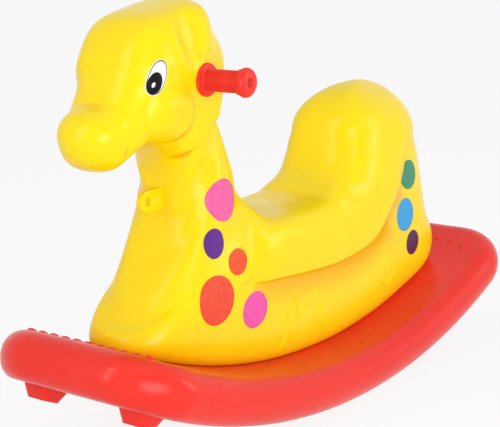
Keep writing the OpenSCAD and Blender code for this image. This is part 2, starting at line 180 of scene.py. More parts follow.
# %% [markdown]
# ## Node trees written as sums
#
# A material is a tree of small boxes with wires between them. A small class wraps one
# output of a box, so that `1 - mask * 0.3` adds the Math boxes by itself, and one
# method adds any other box.

# %% Shader maths
class Flow:
    """One output socket of a node tree. Python's operators on it add Math nodes."""

    def __init__(self, tree, socket):
        self.tree, self.socket = tree, socket

    def box(self, kind, inputs=(), output=0, **settings):
        """Add any other node. Its settings come first, then values or links on its inputs."""
        node = self.tree.nodes.new(kind)
        for name, value in settings.items():
            setattr(node, name, value)
        for key, value in (inputs.items() if isinstance(inputs, dict) else enumerate(inputs)):
            socket = node.inputs[key]
            if isinstance(value, Flow):
                self.tree.links.new(value.socket, socket)
            else:
                socket.default_value = value
        return Flow(self.tree, node.outputs[output])

    def maths(self, operation, *values):
        return self.box("ShaderNodeMath", values, operation=operation)

    def __add__(self, other): return self.maths("ADD", self, other)
    def __sub__(self, other): return self.maths("SUBTRACT", self, other)
    def __mul__(self, other): return self.maths("MULTIPLY", self, other)
    def __truediv__(self, other): return self.maths("DIVIDE", self, other)
    def __pow__(self, other): return self.maths("POWER", self, other)
    def __radd__(self, other): return self.maths("ADD", other, self)
    def __rsub__(self, other): return self.maths("SUBTRACT", other, self)
    def __rmul__(self, other): return self.maths("MULTIPLY", other, self)
    def __rtruediv__(self, other): return self.maths("DIVIDE", other, self)
    def __neg__(self): return self.maths("MULTIPLY", self, -1.0)
    def high(self, other): return self.maths("MAXIMUM", self, other)

    def step(self, start, end):
        """0 below start, 1 above end, smooth between."""
        return self.box("ShaderNodeMapRange", {"Value": self, "From Min": start, "From Max": end},
                        interpolation_type="SMOOTHSTEP")

    def noise(self, scale, detail=2.0):
        """Noise over the place held in this vector, about 0.5."""
        return self.box("ShaderNodeTexNoise", {"Vector": self, "Scale": scale, "Detail": detail})

    def mix(self, first, second):
        """A colour between two, with this value as the share of the second."""
        return self.box("ShaderNodeMix", {0: self, 6: first, 7: second}, 2, data_type="RGBA")

    def bump(self, strength, distance):
        """The surface's direction from this height. The distance is in metres."""
        return self.box("ShaderNodeBump", {"Strength": strength, "Distance": distance, "Height": self})

    def vector(self, *parts):
        """Three values as one vector, in the tree of this value."""
        return self.box("ShaderNodeCombineXYZ", parts)


def start_material(name):
    """A new material: its Principled shader and the places on the object, as a vector."""
    material = bpy.data.materials.new(name)
    material.use_nodes = True
    shader = material.node_tree.nodes["Principled BSDF"]
    places = Flow(material.node_tree, None).box("ShaderNodeTexCoord", output=3)
    return material, shader, places


def wire(shader, name, value):
    """Link a varying value, or set a constant on the shader's own socket."""
    if isinstance(value, Flow):
        value.tree.links.new(value.socket, shader.inputs[name])
    else:
        shader.inputs[name].default_value = value


print("shader maths ready")

# %% [markdown]
# ## The camera
#
# A long lens from the horse's front left, a little above the saddle. It comes early,
# so that every later look is from the same place.

# %% Camera
lens = bpy.data.cameras.new("long lens")
lens.lens = 96.1
lens.sensor_width = 36
lens.clip_end = 100
camera = show("camera", lens)
camera.location = (-1.47906, -1.03446, 0.60519)
camera.rotation_euler = (math.radians(90 - 11.412), 0, math.radians(-53.583))
scene = bpy.context.scene
scene.camera = camera
scene.view_settings.view_transform = "Standard"
print("camera at", [round(c, 3) for c in camera.location])

# %% [markdown]
# ## The studio
#
# To a camera the floor is nearly all plain white light, so it stays clean, with a
# small share of real surface that takes the toy's shadow. A tall soft box in front
# draws the long streaks along the toy's rounded corners, and one behind draws those of
# the backrest. A wide one, set low beside the camera, fills the flank and the chest,
# and one overhead the saddle.

# %% Studio floor, world and lamps
def camera_sees(tree):
    """1 for what the camera sees directly, in gloss or through glass."""
    path = tree.nodes.new("ShaderNodeLightPath")
    seen, mirrored, through = (Flow(tree, path.outputs["Is " + kind + " Ray"])
                               for kind in ("Camera", "Glossy", "Transmission"))
    return seen.high(mirrored).high(through)


def soft_box(name, place, aim, width, height, power):
    """A rectangular lamp at a place, turned to face another."""
    lamp = bpy.data.lights.new(name, "AREA")
    lamp.shape = "RECTANGLE"
    lamp.size, lamp.size_y, lamp.energy = width, height, power
    holder = show(name, lamp)
    holder.location = place
    holder.rotation_euler = (Vector(aim) - Vector(place)).to_track_quat("-Z", "Y").to_euler()


floor_half, floor_clean = 30.0, 0.88  # metres to each side, and the share of plain white light
mesh = bpy.data.meshes.new("studio floor")
mesh.from_pydata([(x * floor_half, y * floor_half, 0) for x, y in ((-1, -1), (1, -1), (1, 1), (-1, 1))],
                 [], [(0, 1, 2, 3)])
sweep = bpy.data.materials.new("white sweep")
sweep.use_nodes = True
tree = sweep.node_tree
tree.nodes.clear()
start = Flow(tree, None)
paper = start.box("ShaderNodeBsdfDiffuse", {"Color": (0.86, 0.86, 0.86, 1)})
glow = start.box("ShaderNodeEmission", {"Color": (1, 1, 1, 1), "Strength": 1.0})
blend = start.box("ShaderNodeMixShader", [camera_sees(tree) * floor_clean, paper, glow])
tree.links.new(blend.socket, tree.nodes.new("ShaderNodeOutputMaterial").inputs["Surface"])
mesh.materials.append(sweep)
show("studio_floor", mesh)

world_light = 0.5  # what the toy gets from all round, while the camera sees plain white
scene.world = bpy.data.worlds.new("studio")
scene.world.use_nodes = True
tree = scene.world.node_tree
background = tree.nodes["Background"]
background.inputs["Color"].default_value = (1, 1, 1, 1)
strength = world_light + camera_sees(tree) * (1 - world_light)
tree.links.new(strength.socket, background.inputs["Strength"])
soft_box("front strip", (-2.4, 0.9, 1.4), (-0.2, 0, 0.3), 0.3, 2.2, 15)
soft_box("rear strip", (1.5, -1.9, 0.9), (0.1, 0, 0.3), 0.35, 1.6, 10)
soft_box("camera fill", (-1.7, -2.3, 0.6), (0, 0, 0.2), 2.0, 1.2, 40)
soft_box("overhead", (-0.1, -0.3, 2.6), (0.1, 0, 0.2), 2.4, 2.4, 6)

# %% [markdown]
# ## Finishes
#
# Both mouldings come shiny out of the mould, with a faint waviness, a fine orange-peel
# and an uneven gloss. Four sizes of noise give that: the widest moves the colour a
# little, the next two are the waviness, a few hundredths of a millimetre high, and the
# gloss, and the finest is the orange-peel. In the body's tight hollows light bounces
# from wall to wall and the yellow looks deeper. Here that is painted shade: a deeper
# orange put into the base colour. The crease attribute, made further down, says where
# it is painted.

# %% Moulded plastic
def moulded_plastic(name, colour, deep, gloss=0.26, grain=0.1, painted_hollow_shade=None):
    """Glossy moulded polyethylene: colour, its deeper tone, roughness, size of the waviness
    and, for a piece that carries a crease attribute, the painted shade for its hollows."""
    material, shader, places = start_material(name)
    cloudy = places.noise(9, 3).step(0.3, 0.7)
    shade = cloudy.mix(colour, deep)
    if painted_hollow_shade:
        # painted shade: where the crease attribute marks a hollow, the base colour turns to a deeper orange
        crease = places.box("ShaderNodeAttribute", output=2, attribute_name="crease")
        shade = crease.mix(shade, painted_hollow_shade)
    wire(shader, "Base Color", shade)
    uneven = places.noise(34, 2)
    wire(shader, "Roughness", gloss + (uneven - 0.5) * 0.12)
    skin = places.noise(16, 1) + places.noise(420, 2) * 0.06
    wire(shader, "Normal", skin.bump(grain, 0.0012))
    wire(shader, "Specular IOR Level", 0.22)
    return material


# the last colour is painted shade, a deeper orange for the body's hollows
body_yellow = moulded_plastic("body yellow", (0.98, 0.74, 0.004, 1), (0.97, 0.71, 0.003, 1),
                              painted_hollow_shade=(0.90, 0.42, 0.003, 1))
board_red = moulded_plastic("board red", (0.86, 0.036, 0.022, 1), (0.82, 0.03, 0.02, 1))
grip_red = moulded_plastic("grip red", (0.84, 0.034, 0.02, 1), (0.78, 0.028, 0.016, 1), 0.33, 0.08)
print("plastics:", body_yellow.name, board_red.name, grip_red.name)

# %% [markdown]
# The stickers are printed vinyl under a clear film: an even colour with the faint
# speckle of a print and a flatter gloss than the body's. The fasteners are
# zinc-plated steel with a cloudy, uneven gloss.

# %% Vinyl and steel
def vinyl_surface(shader, places, roughness, specular):
    """The flat gloss and faint grain of printed film."""
    wire(shader, "Roughness", roughness + (places.noise(60) - 0.5) * 0.1)
    wire(shader, "Specular IOR Level", specular)
    wire(shader, "Normal", places.noise(700).bump(0.05, 0.0005))


def printed_vinyl(name, colour):
    material, shader, places = start_material(name)
    speckle = places.noise(260, 3).step(0.35, 0.65)
    paler = tuple(min(1, c * 1.12 + 0.01) for c in colour[:3]) + (1,)
    wire(shader, "Base Color", speckle.mix(colour, paler))
    vinyl_surface(shader, places, 0.38, 0.25)
    return material


steel, shader, places = start_material("plated steel")
worn = places.noise(120, 4)
wire(shader, "Base Color", worn.mix((0.62, 0.62, 0.60, 1), (0.74, 0.74, 0.73, 1)))
wire(shader, "Metallic", 1.0)
wire(shader, "Roughness", 0.26 + (worn - 0.5) * 0.2)
wire(shader, "Normal", places.noise(900, 2).bump(0.1, 0.0003))
spot_colours = {
    "rose": (0.78, 0.105, 0.33, 1), "violet": (0.10, 0.01, 0.22, 1), "orange": (0.78, 0.075, 0.012, 1),
    "red": (0.76, 0.066, 0.024, 1), "magenta": (0.78, 0.085, 0.38, 1), "green": (0.035, 0.245, 0.13, 1),
    "blue": (0.03, 0.335, 0.70, 1), "plum": (0.075, 0.001, 0.06, 1)}
spot_vinyl = {name: printed_vinyl("vinyl " + name, colour) for name, colour in spot_colours.items()}
print("vinyls:", len(spot_vinyl))

# %% [markdown]
# ## The body, as ribs
#
# A blow-moulded skin has no flat plan to extrude, so it is bent over ribs. Each rib
# crosses the body from its outer edge (chin, chest, foot, rump) to its inner edge
# (brow, nape, seat, backrest). It is the outer end [x, z], the inner end [x, z], the
# half width, how square the outer and inner halves are, and the step over which the
# jaw and the saddle stand out: its place, as a share of the rib from -1 at the outer
# end to 1, and its height. The ribs that stand on the board run a little into it and
# are cut off there, which makes the foot flat.

# %% Sizes and ribs
rocking_radius = 968.0
board_thickness = 61.0
deck_radius = rocking_radius - board_thickness
foot_radius = deck_radius - 0.3
seat_z = board_thickness + 210
back_z = board_thickness + 351
grip_low, grip_high = node_box("grip_left")
handle_x = (grip_low[0] + grip_high[0]) / 2
handle_z = (grip_low[2] + grip_high[2]) / 2
head_half, neck_half, saddle_half = 57.0, 53.0, 80.0
jaw_step, skirt_step = 9.0, 8.0
skirt_half = saddle_half - skirt_step
foot_flat = 8.0


def arc_height(radius, x):
    """The height at x of an arc round the rocking axis."""
    return rocking_radius - np.sqrt(radius * radius - np.asarray(x, float) ** 2)


def head_rib(xo, zo, xi, zi, w, po, pi, seam, step):
    """A rib whose ends are counted from the handle. step is a share of the jaw's."""
    ends = [handle_x + xo, handle_z + zo, handle_x + xi, handle_z + zi]
    return ends + [head_half + w, po, pi, seam, jaw_step * step]


def foot_rib(x, xi, zi, w, po, pi, seam, step):
    """A rib that stands on the board at x, with zi counted from the seat and the saddle's step."""
    foot = float(arc_height(foot_radius + foot_flat, x))
    return [x, foot, xi, seat_z + zi, skirt_half + w, po, pi, seam, skirt_step * step]


head = [
    (-116, -96, -141, -27, -13, 2.6, 2.4, -1, 0),
    (-100, -85, -125, -19, -8, 2.7, 2.7, -1, 0),
    (-71, -75, -110, 10, -4, 2.6, 2.9, -1, 0),
    (-52, -77, -105, 37, -2, 2.5, 3.1, -1, 0.5),
    (-39, -84, -80, 71, -5, 2.5, 3.2, -1, 1),
    (-25, -98, -37, 85, -4, 2.4, 3.3, -0.86, 1),
    (-17, -116, 16, 93, -4, 2.4, 3.3, -0.66, 1),
    (-16, -135, 34, 72, -5, 2.4, 3, -0.40, 1),
    (-14, -153, 60, 45, -6, 2.4, 2.6, 0.05, 1),
    (-13, -171, 50, 14, -7, 2.3, 2.4, 0.35, 1)]
neck = [
    [handle_x - 17, 259, handle_x + 51, handle_z - 18, neck_half - 3, 2.2, 2.4, 0.76, jaw_step],
    [-276, 234, -179, 387, neck_half + 4, 2.1, 2.4, 1, 0],
    [-304, 198, -158, 344, neck_half + 8, 2.1, 2.4, 0.7, 0],
    [-332, 165, -136, 297, skirt_half - 8, 2.3, 2.4, 0.4, 0],
    [-355, 148, -113, seat_z - 8, skirt_half - 3, 2.6, 5.2, -0.2, skirt_step * 0.4]]
trunk = [
    (-342, -85, -11, -1, 3.4, 6.4, 0.02, 0.8),
    (-240, -54, -10, 0, 4, 6.4, 0.16, 1),
    (-110, -18, -10, 0, 4, 5.8, 0.22, 1),
    (30, 6, -7, 0, 4, 5.2, 0.21, 1),
    (150, 22, -4, 0, 4, 4.6, 0.20, 1),
    (240, 35, 4, 0, 4, 4.2, 0.19, 1),
    (322, 48, 12, -1, 4, 3.8, 0.27, 1)]
rump = [
    [344, 150, 60, seat_z + 21, skirt_half - 2, 3.8, 3.6, 0.25, skirt_step],
    [325, 193, 69, seat_z + 32, skirt_half - 3, 3.4, 3.5, 0.13, skirt_step],
    [314, 246, 76, seat_z + 45, skirt_half - 5, 3, 3.5, -0.02, skirt_step],
    [308, back_z - 120, 81, back_z - 82, skirt_half - 7, 2.6, 3.5, -0.12, skirt_step],
    [302, back_z - 88, 85, back_z - 65, skirt_half - 10, 2.4, 3.4, -0.23, skirt_step]]
ribs = np.array([head_rib(*row) for row in head] + neck + [foot_rib(*row) for row in trunk] + rump)
muzzle_reach, back_dome, back_taper = 36.0, 75.0, 1.7
last_rib = len(ribs) - 1
print("ribs: %d, handle at %.1f %.1f" % (len(ribs), handle_x, handle_z))

# %% [markdown]
# Between two ribs the skin follows a Catmull-Rom curve through their neighbours, so
# it flows without corners. At the muzzle and the top of the backrest the last rib
# shrinks as it moves out, and closes the skin like the end of a loaf.

# %% A rib anywhere along the body
def square_to(rib):
    """The direction square to a rib, in the side view."""
    half = (rib[2:4] - rib[0:2]) / 2
    return np.array([-half[1], half[0]]) / np.hypot(*half)


def guide_rib(end, next_in, away):
    """A rib beyond an end, which makes the skin leave the end rib squarely."""
    guide = ribs[next_in].copy()
    guide[0:4] += 2 * end_pace * away * np.tile(square_to(ribs[end]), 2)
    return guide


end_pace = 20.0
guided = np.vstack([guide_rib(0, 1, 1), ribs, guide_rib(last_rib, last_rib - 1, -1)])


def rib_at(u):
    """The ribs at places u, from -1 at the muzzle's tip to last_rib + 1."""
    u = np.atleast_1d(np.asarray(u, float))
    i = np.clip(np.floor(u).astype(int), 0, last_rib - 1)
    t = np.clip(u - i, 0, 1)[:, None]
    rows = catmull_rom(*(guided[i + k] for k in range(4)), t)
    domes = ((0, -u, muzzle_reach, 1), (last_rib, u - last_rib, -back_dome, back_taper))
    for end, past, away, taper in domes:
        out = past > 0
        turn = np.radians(90 * past[out])[:, None]
        r = ribs[end]
        middle, half = (r[0:2] + r[2:4]) / 2, (r[2:4] - r[0:2]) / 2
        away = away * np.sin(turn) * square_to(r)
        rows[out] = r
        rows[out, 0:2] = middle - half * np.cos(turn) + away
        rows[out, 2:4] = middle + half * np.cos(turn) + away
        rows[out, 4] = r[4] * np.maximum(np.cos(turn[:, 0]), 0) ** taper
        rows[out, 8] = r[8] * np.cos(turn[:, 0])
    return rows


print("rib halfway along the neck:", rib_at(11.5)[0].round(1))

# %% [markdown]
# The sculpted forms lie over the plain side: a domed cheek with a crisp rear edge, a
# leaf-shaped dish in each ear with a soft rim, the step below the jaw and the saddle,
# an upright fold at the saddle's front, where that step fades in, and a short crease
# at the corner of the mouth. Each is a height added to the skin, from a distance in
# the side view.

# %% Sculpted forms and the skin
cheek = np.array([handle_x - 60, handle_z - 37])
cheek_size, cheek_height = np.array([36.0, 33.0]), 7.0
ear = np.array([handle_x - 23, handle_z + 50])
ear_tall, ear_wide, ear_dish = 34.0, 26.0, 6.0
saddle_front, fold_depth = -152.0, 2.0
mouth = np.array([[-361.0, 390.0], [-366.0, 380.0], [-369.0, 372.0]])
step_width = 7.5
neck_foot, saddle_foot = 300.0, 188.0  # heights between which the fold runs


def crease_distance(p):
    """How far places [x, z] are from the mouth's crease."""
    best = np.full(p.shape[:-1], 1e9)
    for a, b in zip(mouth[:-1], mouth[1:]):
        t = np.clip((p - a) @ (b - a) / ((b - a) @ (b - a)), 0, 1)
        best = np.minimum(best, np.linalg.norm(p - a - t[..., None] * (b - a), axis=-1))
    return best


def sculpt(p, r, share):
    """Height of the sculpted forms at places [x, z] on ribs r."""
    x, z = p[..., 0], p[..., 1]
    to_cheek = (p - cheek) / cheek_size
    c = np.hypot(to_cheek[..., 0], to_cheek[..., 1])
    softness = 0.13 + 0.09 * ramp(-0.2 - to_cheek[..., 0])
    domed = cheek_height * ramp((1.06 - c) / softness) * (1 - 0.4 * np.minimum(c * c, 1))
    e = p - ear
    up = np.clip(e[..., 1] / ear_tall, -1, 1)
    rim = np.hypot(e[..., 1] / ear_tall, e[..., 0] / (ear_wide * (1 + 0.25 * up)))
    leaf = 2 * ramp((1.7 - rim) / 0.7) - (ear_dish + 2) * ramp((1.1 - rim) / 0.75)
    half = np.hypot(r[..., 2] - r[..., 0], r[..., 3] - r[..., 1]) / 2
    below = (r[..., 7] - share) * half
    fades_in = np.where(z < neck_foot, ramp((x - saddle_front + 18) / 32), 1)
    step = r[..., 8] * (1 - ramp(below / step_width)) * fades_in
    line = 1.6 * ramp((2.2 - crease_distance(p)) / 2.0)
    ahead = saddle_front - x
    fold = fold_depth * ramp(ahead / 12 + 0.5) * ramp(1.2 - ahead / 42)
    fold = fold * ramp((z - saddle_foot) / 30) * ramp((neck_foot - z) / 40)
    return domed + leaf + step - line - fold


def skin_points(r, share, side):
    """Points of the skin on ribs r at shares of them. The sides are -1, the left, and 1."""
    power = np.where(share < 0, r[..., 5], r[..., 6])
    lift = np.maximum(1 - np.abs(share) ** power, 0) ** (1 / power)
    outer, inner = r[..., 0:2], r[..., 2:4]
    p = (outer + inner) / 2 + share[..., None] * (inner - outer) / 2
    y = r[..., 4] * lift + sculpt(p, r, share) * ramp((lift - 0.2) / 0.5)
    from_axis = p - [0, rocking_radius]
    reach = np.linalg.norm(from_axis, axis=-1)
    keep = np.where(reach > foot_radius, foot_radius / np.maximum(reach, 1), 1)
    q = from_axis * keep[..., None]
    return np.stack([q[..., 0], side * y, rocking_radius + q[..., 1]], -1)


def shares_of(rib, count):
    """Shares round half a rib, close together on the step's two edges so that it stays crisp."""
    half = math.hypot(rib[2] - rib[0], rib[3] - rib[1]) / 2
    seam = min(max(rib[7], -0.55), 0.62)

    def turn(s):
        """The angle round the rib, from 0 at its outer end, at which a share lies."""
        power = rib[6] if s > 0 else rib[5]
        return math.acos(max(-1, min(1, -math.copysign(abs(s) ** (power / 2), s))))

    low, high = turn(seam - min(step_width / half, 0.3)), turn(seam)
    angles = np.concatenate([np.linspace(0, low, count // 2), np.linspace(low, high, 6)[1:-1],
                             np.linspace(high, math.pi, count - count // 2)])
    c = np.cos(angles)
    return -np.sign(c) * np.abs(c) ** (2 / np.where(c > 0, rib[5], rib[6]))


def body_skin(per_rib, count, end_steps):
    """The whole skin: rows between two ribs, points round half a rib, rows over each end."""
    muzzle_end = -np.arange(end_steps - 1, 0, -1) / end_steps
    back_end = last_rib + np.arange(1, end_steps) / end_steps
    places = np.concatenate([muzzle_end, np.arange(last_rib * per_rib + 1) / per_rib, back_end])
    rows = []
    for rib in rib_at(places):
        share = shares_of(rib, count)
        many = np.repeat(rib[None], len(share), 0)
        rows.append(np.vstack([skin_points(many, share, 1), skin_points(many, share, -1)[::-1][1:-1]]))
    around, k = len(rows[0]), len(rows)
    tip, crown = rib_at(-1.0)[0], rib_at(last_rib + 1.0)[0]
    points = np.vstack(rows + [[[tip[0], 0, tip[1]], [crown[0], 0, crown[1]]]])
    faces = ring_faces(k, around)
    faces += [(k * around, i, j) for i, j in neighbours(around, 0)]
    faces += [(k * around + 1, j, i) for i, j in neighbours(around, (k - 1) * around)]
    return points, faces


skin, skin_mesh_faces = body_skin(12, 62, 16)
body = make_piece("body_moulding", skin, skin_mesh_faces, body_yellow)
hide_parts("body_shell")
print("body:", len(body.data.polygons), "faces, low", skin.min(0).round(1), "high", skin.max(0).round(1))

# %% [markdown]
# Painted shade: the yellow is painted a deeper orange in the hollows, where light
# bouncing from wall to wall turns it deeper. Along an edge of the mesh the two
# normals lean together in a hollow and apart on a ridge. That lean, averaged over the
# neighbours a few times, is kept on the mesh for the material to read, as the share of
# painted shade.

# %% The crease attribute, for painted shade
def values_of(items, name, width, kind=float):
    """One property of a mesh's points or edges, a row for each."""
    values = np.empty(len(items) * width, kind)
    items.foreach_get(name, values)
    return values.reshape(-1, width)


def hollows(mesh):
    """0 on flat and rounded skin, up to 1 in sharp hollows."""
    places = values_of(mesh.vertices, "co", 3) / MM
    normals = values_of(mesh.vertices, "normal", 3)
    a, b = values_of(mesh.edges, "vertices", 2, int).T

    def gather(at_a=None, at_b=None):
        """At each point, the sum of what its edges bring, or their number."""
        return np.bincount(a, at_a, len(places)) + np.bincount(b, at_b, len(places))

    along = places[b] - places[a]
    bend = -((normals[b] - normals[a]) * along).sum(1) / np.maximum((along ** 2).sum(1), 0.01)
    curve = gather(bend, bend) / gather()
    for _ in range(3):
        curve = (curve + gather(curve[b], curve[a]) / gather()) / 2
    return ramp((curve - hollow_start) / hollow_span)


hollow_start, hollow_span = 0.008, 0.045  # one over a radius in millimetres
# the share of painted shade at each point, kept as the crease attribute
painted_shade_share = hollows(body.data)
layer = body.data.attributes.new("crease", "FLOAT", "POINT")
layer.data.foreach_set("value", painted_shade_share.astype(np.float32))
print("in hollows:", int((painted_shade_share > 0.5).sum()), "of", len(painted_shade_share), "points")

# %% [markdown]
# Everything that lies on the body needs to know where its side is. A ray sent in from
# the side gives the place and the direction of the skin there.

# %% Finding the skin from the side
skin_tree = BVHTree.FromPolygons([Vector(p) for p in skin], skin_mesh_faces)


def skin_from(start, direction):
    """Where a ray meets the skin, and the skin's outward direction there."""
    place, normal, _, _ = skin_tree.ray_cast(Vector(start), Vector(direction))
    if normal.dot(Vector(direction)) > 0:
        normal = -normal
    return np.array(place), np.array(normal)


def on_side(x, z, side):
    """The same at [x, z] in the side view, from well outside."""
    return skin_from((x, side * 300, z), (0, -side, 0))


def on_deck(x, y, side):
    """The same for the board's deck, at [x, y] seen from above. It has one side only."""
    down = np.array([x, 0, float(arc_height(deck_radius, x)) - rocking_radius])
    return np.array([x, y, down[2] + rocking_radius]), -down / np.linalg.norm(down)


print("side of the head at the handle:", on_side(handle_x, handle_z, -1)[0].round(1))

# %% [markdown]
# ## Raised lines
#
# The mould is engraved with grass and a flower low on each side of the body, and with
# a footprint on the deck for each foot. They come out as low rounded beads. A bead is
# a strip laid along a path, with its middle raised, its edges just inside the skin
# and its ends drawn to a point.

# %% Beads
edge_sunk, base_sunk = 0.25, 1.2


def bead(path, width, height, where, side, closed=False):
    """Points and faces of a raised bead. path holds places that where() puts on the surface."""
    offsets = np.linspace(-1, 1, 7)
    arch = height * (1 - offsets ** 2) - edge_sunk
    base, up = (np.array(rows) for rows in zip(*(where(*p, side) for p in path)))
    ahead = np.roll(base, -1, 0) - np.roll(base, 1, 0)
    if not closed:
        ahead[0], ahead[-1] = base[1] - base[0], base[-1] - base[-2]
    across = np.cross(up, ahead)
    across /= np.linalg.norm(across, axis=1)[:, None]
    s = np.linspace(0, 1, len(base))
    taper = np.ones(len(base)) if closed else np.clip(np.minimum(s, 1 - s) * 6, 0.03, 1) ** 0.5
    rows = []
    for b, n, a, k in zip(base, up, across, taper):
        top = [b + a * o * width / 2 * k + n * (h if h < 0 else h * k) for o, h in zip(offsets, arch)]
        rows.append(top + [b + a * width / 2 * k - n * base_sunk, b - a * width / 2 * k - n * base_sunk])
    return stack(rows, closed)


def beads(name, strips, finish):
    """Several beads as one piece."""
    points, faces, start = [], [], 0
    for p, f in strips:
        points.append(p)
        faces += [tuple(i + start for i in face) for face in f]
        start += len(p)
    piece = make_piece(name, np.vstack(points), faces, finish)
    return piece


print("beads ready")

# %% [markdown]
# Six blades of grass grow below the saddle, with a flower of six petals behind them.

# %% Grass and flower on both sides
grass = [[[-100, 76], [-96, 89], [-91, 104], [-89, 122], [-92, 141]],
         [[-67, 116], [-68, 130], [-73, 146], [-83, 163]],
         [[-67, 117], [-60, 132], [-56, 138]],
         [[-49, 131], [-42, 136], [-26, 143], [-9, 152]],
         [[-24, 106], [-16, 120], [-4, 131]],
         [[1, 80], [-4, 92], [-7, 104], [-2, 118]]]
flower = np.array([162.0, 147.0])
petals = [flower + (20 + 9 * abs(math.sin(3 * a)) ** 0.5) * np.array([math.cos(a), math.sin(a)])
          for a in np.radians(np.arange(10, 370, 4))]
centre = circle(*flower, 9, 12)
for side, word in SIDES:
    strips = [bead(smooth_path(blade, 6), 5.6, 2.3, on_side, side) for blade in grass]
    strips += [bead(ring, 4.2, 1.3, on_side, side, closed=True) for ring in (petals, centre)]
    meadow = beads("meadow_relief_" + word, strips, body_yellow)
    print(meadow.name, len(meadow.data.polygons), "faces")

# %% [markdown]
# ## Turned parts
#
# The collars, grips and caps are all round about the handle. Each is a profile of
# [distance along the handle, radius], turned through a circle.

# %% Turning a profile about the handle
def turned(name, profile, side, finish, smooth_angle=40):
    """A closed piece from a profile, at the handle's end on this side."""
    rows = [[[x, side * along, z] for x, z in circle(handle_x, handle_z, radius, 5)]
            for along, radius in profile]
    piece = make_piece(name, *stack(rows), finish, smooth_angle)
    return piece


def shifted(along, radius, offsets):
    """Points of a profile, counted from a place along the handle and a radius."""
    return [[along + a, radius + r] for a, r in offsets]


grip_start = -grip_high[1]
grip_end = -grip_low[1]
flange_r = (grip_high[0] - grip_low[0]) / 2
clearance, collar_bore, collar_depth = 0.3, 11.0, 16.0
collar_r = flange_r + 3
face = grip_start - clearance
collar = shifted(face, 0, [(-collar_depth, collar_bore), (-collar_depth, collar_r), (-1.2, collar_r),
                           (-0.5, collar_r - 0.3), (0, collar_r - 1.2), (0, collar_bore)])
for side, word in SIDES:
    turned("collar_" + word, collar, side, body_yellow)
print("grips from %.1f to %.1f mm out, flange radius %.1f" % (grip_start, grip_end, flange_r))

# %% [markdown]
# ## Geometry Nodes for what repeats
#
# The grip's rings and the board's studs are one small shape over and over. A Geometry
# Nodes tree makes each row from a few named numbers, so twenty rings take a change of
# one value. The tree makes its copies real and gives them their material, and the
# result is kept as a plain mesh.

# %% Building and applying a tree
def start_tree(name, sizes):
    """A tree with named number inputs, with a Flow to build on and its inputs as Flows."""
    tree = bpy.data.node_groups.new(name, "GeometryNodeTree")
    tree.interface.new_socket("Geometry", in_out="OUTPUT", socket_type="NodeSocketGeometry")
    for label, value in sizes.items():
        kind = "NodeSocketInt" if isinstance(value, int) else "NodeSocketFloat"
        tree.interface.new_socket(label, in_out="INPUT", socket_type=kind).default_value = value
    inputs = tree.nodes.new("NodeGroupInput")
    return tree, Flow(tree, None), {label: Flow(tree, inputs.outputs[label]) for label in sizes}


def end_tree(tree, copies, finish):
    """Put an instance on points, make the copies real, and give them their material."""
    spread = Flow(tree, None).box("GeometryNodeInstanceOnPoints", copies)
    real = spread.box("GeometryNodeRealizeInstances", [spread])
    painted = real.box("GeometryNodeSetMaterial", {"Geometry": real, "Material": finish})
    tree.links.new(painted.socket, tree.nodes.new("NodeGroupOutput").inputs[0])


def applied(thing):
    """The mesh that a thing has with its modifiers."""
    return bpy.data.meshes.new_from_object(thing.evaluated_get(bpy.context.evaluated_depsgraph_get()))


def grow(name, tree, sizes, finish):
    """Run a tree with these sizes and keep the result as a plain piece."""
    seed = show(name + "_seed", bpy.data.meshes.new(name + "_seed"))
    modifier = seed.modifiers.new("grow", "NODES")
    modifier.node_group = tree
    for item in tree.interface.items_tree:
        if item.item_type == "SOCKET" and item.in_out == "INPUT":
            modifier[item.identifier] = sizes[item.name]
    mesh = applied(seed)
    bpy.data.objects.remove(seed)
    mesh.name = name
    piece = show(name, mesh)
    finish_piece(piece, finish, 50)
    return piece


print("tree helpers ready")

# %% [markdown]
# The grip is a rubbery sleeve with a flange against the head. Its rings are fifteen
# equal hoops. A hoop is a circle swept along a circle, which Curve to Mesh does.

# %% Ring tree
ring_sizes = {"Count": 15, "Pitch": 0.0028, "First ring": 0.07, "Radius": 0.0122, "Thickness": 0.0011,
              "Handle x": float(handle_x * MM), "Handle z": float(handle_z * MM)}

rings, start, size = start_tree("grip rings", ring_sizes)
path, section = (start.box("GeometryNodeCurvePrimitiveCircle", {"Resolution": points, "Radius": size[radius]})
                 for points, radius in ((64, "Radius"), (10, "Thickness")))
hoop = start.box("GeometryNodeCurveToMesh", {"Curve": path, "Profile Curve": section})
lying = start.box("GeometryNodeTransform", {"Geometry": hoop, "Rotation": (math.pi / 2, 0, 0)})
line = start.box("GeometryNodeMeshLine", {
    "Count": size["Count"], "Offset": start.vector(0.0, size["Pitch"], 0.0),
    "Start Location": start.vector(size["Handle x"], size["First ring"], size["Handle z"])})
end_tree(rings, {"Points": line, "Instance": lying}, grip_red)

tube_r, flange_t, neck_r = 10.2, 4.0, 12.2
ring_span = grip_end - grip_start - flange_t - 5
flange_outline = [(0, -1), (0.5, -0.3), (1.2, 0), (2.4, 0), (3.3, -0.6), (3.9, -2), (4.2, -3.5)]
neck_outline = [(4.5, 3), (5.2, 1), (6.5, 0.2), (8, 0)]
sleeve = [[grip_start, tube_r]] + shifted(grip_start, flange_r, flange_outline)
sleeve += shifted(grip_start, neck_r, neck_outline)
sleeve += shifted(grip_end, 0, [(-1.5, neck_r), (0, neck_r - 0.3), (0, tube_r)])
for side, word in SIDES:
    grip = turned("grip_sleeve_" + word, sleeve, side, grip_red)
    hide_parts("grip_" + word)
    sizes = {**ring_sizes, "Pitch": float(side * ring_span / ring_sizes["Count"] * MM),
             "First ring": float(side * (grip_start + flange_t + 3.4) * MM)}
    hoops = grow("grip_rings_" + word, rings, sizes, grip_red)
    print(hoops.name, len(hoops.data.polygons), "faces")

# %% [markdown]
# The end cap is a mushroom knob with a small ring behind it, held by a screw sunk in
# the middle of its face. Its soft edge is an arc of the profile.

